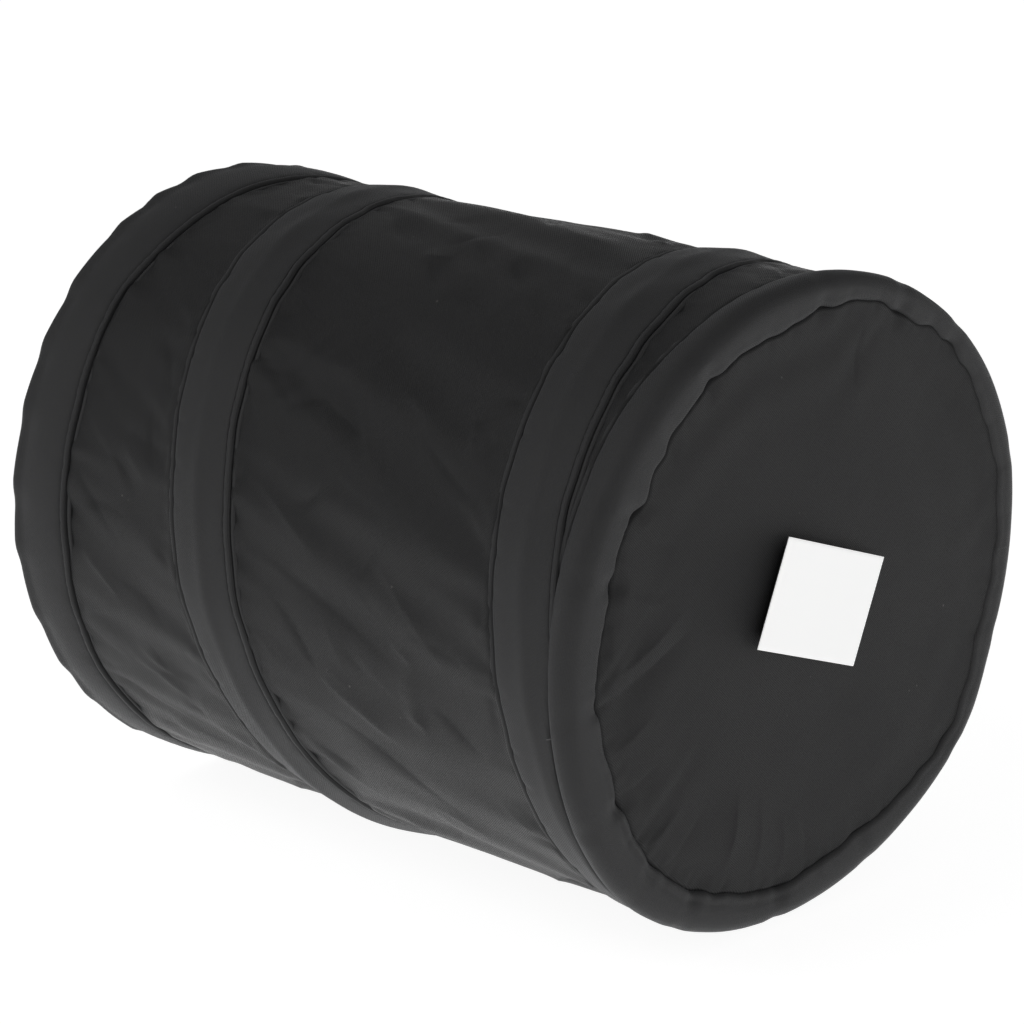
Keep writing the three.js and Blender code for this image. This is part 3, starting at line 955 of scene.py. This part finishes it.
def panel_band():
    edge, outline, turn = LENGTH - PANEL_BAND, panel_outline(), RIM_TURNS
    along, radius = (outline[None, :, i] + 0 * turn for i in (0, 1))
    on_face = ease((FACE_RADIUS + 1.5 - radius) / 3.5) * (along > LENGTH - 3)
    inward = np.clip((FACE_RADIUS - radius) / (FACE_RADIUS - FACE_INNER), 0, 1)
    radius = radius + (seam_radius(turn) - FACE_INNER) * inward
    in_from_seam = radius - seam_radius(turn)
    pinched = pinch(turn)
    pull, _ = seam_puckers(turn, 52, 7.0, 1.8)
    left_pull, _ = seam_puckers(turn, 53, 9.5, 1.6)
    near_seam = bump(in_from_seam / 4.5) * on_face
    dip = 0.8 * pinched * seam_depth(turn) * bump(in_from_seam / 6.5) * on_face + 0.18 * pull * near_seam
    dip = dip + 0.5 * flange_at(turn) * bump((in_from_seam - SEAM_STITCH) / 0.8) * on_face
    flush = bump(turn_gap(turn, 268) / 42)
    groove = bump((along - edge) / 0.7)
    outside = (1 - on_face) * (outline[None, :, 1] > 76.6)
    lower = 0.45 * pinched * bump((along - LENGTH) / 6)
    lower = lower + 0.2 * left_pull * bump((along - edge - 1.2) / 2.5)
    radius = radius - lower * outside + 0.7 * flush * groove + 0.5 * pinched * near_seam
    softly = 0.14 * waver(turn + 0.7 * along, 54, 6, 22) * bump((along - edge - 5) / 5)
    radius = radius + softly * outside
    # Behind its face, the rim's cloth stays inside the hoop.
    hoop_clear = HOOP_WIRE_AT - HOOP_WIRE_RADIUS - CLOTH_THICKNESS - 0.15
    behind_face = (outline[:, 1] < 74) & (outline[:, 0] < LENGTH - 1.5)
    radius = np.where(behind_face, np.minimum(radius, hoop_clear), radius)
    near_face = ease((75.0 - outline[None, :, 1]) / 2) * (along > LENGTH - 4)
    level = 0.5 * (1 - seam_depth(turn)) * near_face
    edge_shift = panel_edge(turn) * (1 - ease((along - edge) / 6.5)) * outside
    along = along + (LENGTH - along) * level - dip + edge_shift
    made = rim_sheet("panel_channel_cloth", along, radius, turn)
    finish_piece(made, BAND_CLOTH, "panel_end", ["panel_rim_band"])


def rim_stitches():
    mouth, panel = [], []
    count = int(360 / math.degrees(STITCH_PITCH / RADIUS))
    for i in range(count):
        turn = i * 360 / count
        mouth.append(stitch(MOUTH_BAND - FLANGE + float(mouth_edge(turn)), turn, 78.25))
        panel.append(face_stitch(turn))
    made = joined_tubes("mouth_topstitch", mouth, STITCH_RADIUS)
    finish_piece(made, THREAD, "mouth_end")
    made = joined_tubes("panel_topstitch", panel, STITCH_RADIUS)
    finish_piece(made, THREAD, "panel_end")


FACE_STITCH_HALF = math.degrees(1.1 / 72)  # turn of half a stitch on the face


def face_stitch(turn):
    """One stitch lying on the face of the panel's rim, just outside its seam."""
    turns = turn + FACE_STITCH_HALF * ALONG_STITCH
    depth = 0.2 + 0.6 * pinch(turns) + 0.5 * flange_at(turns)
    rise = np.array([-0.3, 0.0, 0.06, 0.0, -0.3])
    return place(LENGTH - depth + rise, turns, seam_radius(turns) + SEAM_STITCH)


FRAYS = 46
FRAY_RADIUS = 0.045


def frayed_threads():
    """Short loose fibres along the panel's seam, and the cut tail of the strip's row of stitches."""
    drawn = random.Random(71)
    fibres = []
    for _ in range(FRAYS):
        turn = drawn.uniform(95, 285)
        seam = float(seam_radius(np.array(turn)))
        long, swing, lift = drawn.uniform(0.8, 2.4), drawn.uniform(-2.2, 2.2), drawn.uniform(0.1, 0.7)
        share = np.linspace(0, 1, 6)
        fibres.append(place(
            LENGTH - 2.0 + lift * np.sin(share * math.pi) + 0.5 * share,
            turn + swing * share * share,
            seam - long * share,
        ))
    made = joined_tubes("seam_frays", fibres, FRAY_RADIUS, sides=4)
    finish_piece(made, LINT, "panel_end")
    tail = np.linspace(0, 1, 9)
    tail_path = place(
        helix_along(548) + HELIX_HALF_WIDTH - 2.2 - 3.6 * tail * tail,
        188 + 2.2 * tail,
        WALL_RADIUS + 1.4 + 0.5 * np.sin(tail * math.pi),
    )
    made = joined_tubes("stitch_tail", [tail_path], 0.13)
    finish_piece(made, THREAD, "mouth_end", squashes=True)


def hoop(name, along, body, node_name):
    turns = np.arange(0, 360, 3.0)
    made = tube_mesh(name, place(along, turns, HOOP_WIRE_AT), HOOP_WIRE_RADIUS, closed=True)
    finish_piece(made, STEEL, body, [node_name])


# ----------------------------------------
# The round end panel

PANEL_FOLDS = [  # (across, up) at the two ends from the middle, half width and depth in mm
    ((-70, -8), (-40, 3), 3.4, -1.5),
    ((-68, -3), (-42, 8), 3.0, 0.9),
    ((-67, 22), (-52, 12), 2.6, 0.7),
    ((-55, -46), (-39, -39), 3.0, 0.9),
    ((-47, -53), (-32, -42), 3.0, -0.6),
    ((-25, -60), (-20, -40), 2.8, 0.8),
    ((-15, -66), (-12, -44), 3.0, 0.5),
    ((-61, 34), (-47, 24), 3.0, -0.9),
    ((16, 68), (12, 52), 2.8, -0.7),
    ((-58, 16), (-46, 12), 2.6, 0.5),
    ((-66, -20), (-50, -14), 3.2, 0.7),
    ((-63, -30), (-48, -27), 2.8, -0.6),
    ((-6, -68), (-4, -52), 2.6, 0.5),
    ((4, -66), (2, -54), 2.4, -0.5),
]
PANEL_CELLS = 61
PANEL_CELL = 2.5
PANEL_SPARE = 0.0004
PANEL_REACH = 75.5  # from the middle to the cut edge, past the seam
PANEL_SET_BACK = 0.9  # of the panel behind the rim's face
PANEL_RELIEF_SHARE = 0.8


def panel_relief():
    """The end panel's creases, as a square grid of heights in mm over a plane."""
    side = (np.arange(PANEL_CELLS) - (PANEL_CELLS - 1) / 2) * PANEL_CELL
    across, up = np.meshgrid(side, side, indexing="ij")
    reach = np.hypot(across, up)
    height = 0.5 * bump(reach / 80)
    across_cut, up_cut = across * (1 + PANEL_SPARE), up * (1 + PANEL_SPARE)
    for start, end, half_width, depth in PANEL_FOLDS:
        run, aside, ux, uy = fold_frame(across - start[0], up - start[1], start, end)
        height = height + fold_height(run, aside, half_width, depth)
        shift = fold_spare(run, aside, half_width, depth)
        across_cut, up_cut = across_cut - uy * shift, up_cut + ux * shift
    height = height * ease((74 - reach) / 6)
    sewn = np.stack([height, across, up], -1)
    cut = np.stack([0 * height, across_cut, up_cut], -1)
    settled = settle("settling_panel", cut, sewn, reach > 71.5, wrap=False)
    return PANEL_RELIEF_SHARE * settled[..., 0]


PANEL_RELIEF = panel_relief()


def panel_height(across, up):
    """Height of the end panel in mm, before the dive to its seam, with the sharp backs of its folds."""
    middle = (PANEL_CELLS - 1) / 2
    height = sampled(PANEL_RELIEF, across / PANEL_CELL + middle, up / PANEL_CELL + middle)
    for start, end, half_width, depth in PANEL_FOLDS:
        run, aside, _, _ = fold_frame(across - start[0], up - start[1], start, end)
        aside = aside + 1.1 * np.sin(run * 4)
        steep = np.exp(-np.where(aside > 0, aside / 1.1, -aside / (1.4 * half_width)))
        height = height + 0.45 * depth * steep * bump((run - 0.5) / 0.62)
    return height


def end_panel():
    turns = np.arange(0, 360, 0.6)[:, None]
    reach = np.concatenate([np.linspace(0.4, 62, 78), np.linspace(62.5, PANEL_REACH, 52)])[None, :]
    across, up = reach * np.cos(np.radians(turns)), reach * np.sin(np.radians(turns))
    inside = seam_radius(turns) - reach
    pull, _ = seam_puckers(turns, 61, 5.5, 1.7)
    height = panel_height(across, up)
    depth = seam_depth(turns)
    height = height + (1 - depth) * 0.5 * (1 - ease(inside / 22))
    height = height - 1.7 * depth * bump(np.maximum(inside + 1, 0) / 2.1)
    height = height - (0.7 * pinch(turns, 4.0) + 0.25 * pull) * depth * bump(inside / 6)
    size = out_of_round(LENGTH, turns)
    tube = np.stack([LENGTH - PANEL_SET_BACK + height, across * size, up * size], -1)
    uvs = flat_places(across, up)
    made = cloth_sheet("end_panel_cloth", lean(tube), uvs, wrap=True, outward=1.0)
    finish_piece(made, PANEL_CLOTH, "panel_end", ["end_panel"])


# ----------------------------------------
# The square fastening pad

PAD_TILT = -19.6
PAD_WIDTH, PAD_HEIGHT = 36.9, 27.0
PAD_ACROSS, PAD_UP = 2.0, 1.7  # of its middle from the panel's middle


def pad_sheet(name, base, thickness, inset, material, replaced):
    """One layer of the pad: a thin square sheet lying at a tilt over the panel."""
    columns, rows = 39, 29
    u = np.linspace(-1, 1, columns)[:, None] + np.zeros((1, rows))
    v = np.linspace(-1, 1, rows)[None, :] + np.zeros((columns, 1))
    across = u * (PAD_WIDTH / 2 - inset / 2) + inset / 2
    up = v * (PAD_HEIGHT / 2 - inset)
    tilt = math.radians(PAD_TILT)
    y = across * math.cos(tilt) - up * math.sin(tilt) + PAD_ACROSS
    z = across * math.sin(tilt) + up * math.cos(tilt) + PAD_UP
    tube = np.stack([LENGTH - PANEL_SET_BACK + base + panel_height(y, z), y, z], -1)
    uvs = flat_places(across, up)
    made = cloth_sheet(name, lean(tube), uvs, thickness=thickness, outward=1.0)
    bevel = made.modifiers.new("edge", "BEVEL")
    bevel.width = min(0.12, thickness * 0.3) * MM
    bevel.segments = 2
    bevel.limit_method = "ANGLE"
    finish_piece(made, material, "panel_end", [replaced])


def pad():
    """Its three layers: how far each one's front is over the panel, its thickness and its inset."""
    pad_sheet("pad_loop_square", 1.0, 0.9, 3.4, NAP, "pad_loop_patch")
    pad_sheet("pad_hook_square", 2.9, 1.8, 2.0, NAP, "pad_hook_patch")
    pad_sheet("pad_liner", 3.2, 0.25, 0.0, LINER_PAINTED_GLOW, "pad_release_liner")


# ----------------------------------------
# Hidden metal and plastic, and the tape on the wall's seam

TAPE_TURN = 20
TAPE_WIDTH = 10
TAPE_FROM, TAPE_TO = 8, LENGTH - 6  # its two ends, inside the rims


def seam_tape():
    along = np.linspace(TAPE_FROM, TAPE_TO, 90)[:, None]
    across = np.linspace(-TAPE_WIDTH / 2, TAPE_WIDTH / 2, 9)[None, :]
    turn = TAPE_TURN + np.degrees(across / RADIUS)
    points = place(along, turn, plain_wall_radius(along, turn) - 2.6)
    made = cloth_sheet("side_seam_tape_cloth", points, flat_places(along, across), outward=1.0)
    finish_piece(made, BAND_CLOTH, "mouth_end", ["side_seam_tape"], squashes=True)


def wire_fittings():
    """The crimped sleeves on the two hoops and the soft caps on the two ends of the helical wire."""
    half = math.degrees(FERRULE_LENGTH / 2 / HOOP_WIRE_AT)
    sleeves = (  # at (along, turn)
        ("mouth_hoop", HOOP_IN, 190, "mouth_end"),
        ("panel_hoop", LENGTH - HOOP_IN, 10, "panel_end"),
    )
    for name, along, turn, body in sleeves:
        turns = turn + half * np.linspace(-1, 1, 9)
        made = tube_mesh(name + "_sleeve", place(along, turns, HOOP_WIRE_AT), FERRULE_RADIUS, sides=14)
        finish_piece(made, CRIMP, body, [name + "_ferrule"])
    reach = math.degrees(END_CAP_LENGTH / WALL_RADIUS)
    past = 0.7  # degrees that a cap covers beyond the wire's end
    caps = (
        ("mouth", HELIX_START - past, HELIX_START + reach),
        ("panel", HELIX_END - reach, HELIX_END + past),
    )
    for name, first, last in caps:
        turns = np.linspace(first, last, 7)
        path = place(helix_along(turns), turns, HELIX_WIRE_AT)
        made = tube_mesh("wire_cap_" + name, path, END_CAP_RADIUS)
        finish_piece(made, CAP, "mouth_end", ["helix_" + name + "_end_cap"], squashes=True)


# ----------------------------------------
# Studio


AZIMUTH, ELEVATION = math.radians(43.2), math.radians(16.33)  # of the camera
DISTANCE = 0.857
LENS, SENSOR = 119.7, 36.0
WORLD_LIGHT = 0.24
KEY_AT, KEY_WATTS = (-0.5, -1.2, 1.2), 6.5
FILL_AT, FILL_WATTS = (1.4, -0.3, 0.6), 1.7
FLOOR_REACH = 40.0


def camera():
    data = bpy.data.cameras.new("camera")
    data.lens = LENS
    data.sensor_width = SENSOR
    made = linked("camera", data)
    back = np.array([
        math.sin(AZIMUTH) * math.cos(ELEVATION),
        -math.cos(AZIMUTH) * math.cos(ELEVATION),
        math.sin(ELEVATION),
    ])
    aim = np.array([PANEL_HIGH.x - 0.095, 0.0, (AXIS_HEIGHT + 4.65) * MM])
    made.location = aim + back * DISTANCE
    made.rotation_mode = "QUATERNION"
    made.rotation_quaternion = Vector(-back).to_track_quat("-Z", "Y")
    data.clip_start, data.clip_end = 0.01, 50.0
    bpy.context.scene.camera = made


def area_light(name, at, aim, size, power):
    data = bpy.data.lights.new(name, "AREA")
    data.shape = "RECTANGLE"
    data.size, data.size_y = size
    data.energy = power
    made = linked(name, data)
    made.location = at
    made.rotation_mode = "QUATERNION"
    made.rotation_quaternion = (Vector(aim) - Vector(at)).to_track_quat("-Z", "Y")


def studio():
    scene = bpy.context.scene
    scene.view_settings.view_transform = "Standard"
    world = bpy.data.worlds.new("studio")
    world.use_nodes = True
    background = world.node_tree.nodes["Background"]
    background.inputs[0].default_value = (1, 1, 1, 1)
    background.inputs[1].default_value = WORLD_LIGHT
    scene.world = world
    centre = (0, 0, AXIS_HEIGHT * MM)
    area_light("key", KEY_AT, centre, (0.9, 0.9), KEY_WATTS)
    area_light("fill", FILL_AT, centre, (0.8, 0.8), FILL_WATTS)

    floor_mesh = bpy.data.meshes.new("floor")
    corners = [(x * FLOOR_REACH, y * FLOOR_REACH, 0) for x, y in ((-1, -1), (1, -1), (1, 1), (-1, 1))]
    floor_mesh.from_pydata(corners, [], [[0, 1, 2, 3]])
    floor = linked("floor", floor_mesh)
    made, _, shader = new_material("floor")
    tune(shader, Base_Color=(0.3, 0.3, 0.3, 1), Roughness=0.9, **glow(0.92))
    floor.data.materials.append(made)


def build():
    camera()
    studio()
    helix_wire()
    hoop("mouth_hoop", HOOP_IN, "mouth_end", "mouth_hoop_wire")
    hoop("panel_hoop", LENGTH - HOOP_IN, "panel_end", "panel_hoop_wire")
    wall()
    helix_strip()
    helix_stitches()
    mouth_band()
    panel_band()
    rim_stitches()
    frayed_threads()
    end_panel()
    pad()
    seam_tape()
    wire_fittings()


build()
